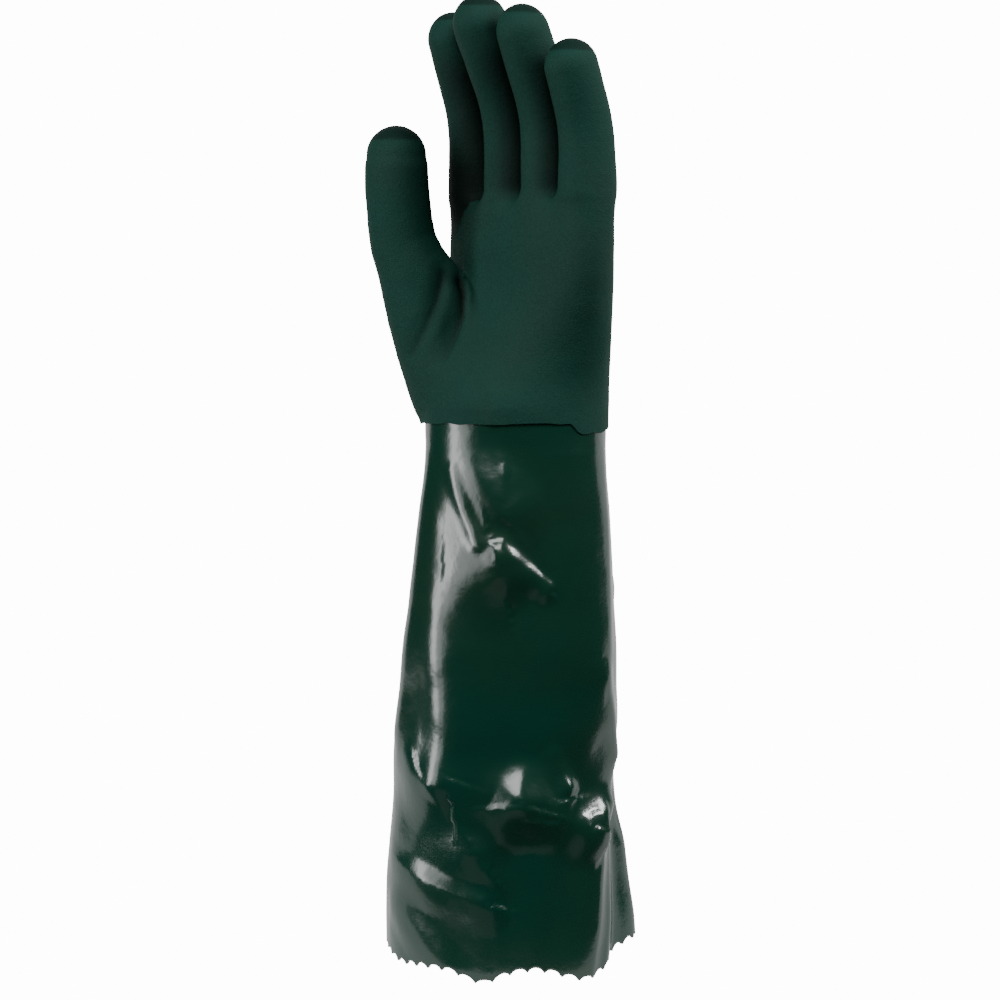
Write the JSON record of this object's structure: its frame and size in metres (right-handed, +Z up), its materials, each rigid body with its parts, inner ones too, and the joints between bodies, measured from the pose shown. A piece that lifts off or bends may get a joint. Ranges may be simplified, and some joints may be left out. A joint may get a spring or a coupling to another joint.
{
  "type": "pvc coated work glove",
  "caption": "Long left-hand work glove coated in green PVC, with a sandy grip on the hand and a glossy gauntlet sleeve that ends in a pinked cuff.",
  "frame": {"origin": "the middle of the cuff's mouth, level with the lowest point of its edge, where the forearm goes in", "axes": "+Z up the sleeve from the cuff to the fingertips, -Y towards the sleeve's front as it is seen, +X towards the little finger's side, with the palm turned about 50 degrees from the front towards the thumb's side"},
  "size_m": [0.1264, 0.0911, 0.4469],
  "materials": {
    "glossy_pvc": "glossy dark green vinyl with soft creases",
    "sandy_pvc": "matte grey-green vinyl with a fine sandy grip"
  },
  "bodies": {
    "root": {"gauntlet_sleeve": "glossy_pvc", "wrist_coat": "sandy_pvc", "palm_coat": "sandy_pvc", "thumb_stall": "sandy_pvc", "index_stall": "sandy_pvc", "middle_stall": "sandy_pvc", "ring_stall": "sandy_pvc", "little_stall": "sandy_pvc"}
  },
  "joints": []
}
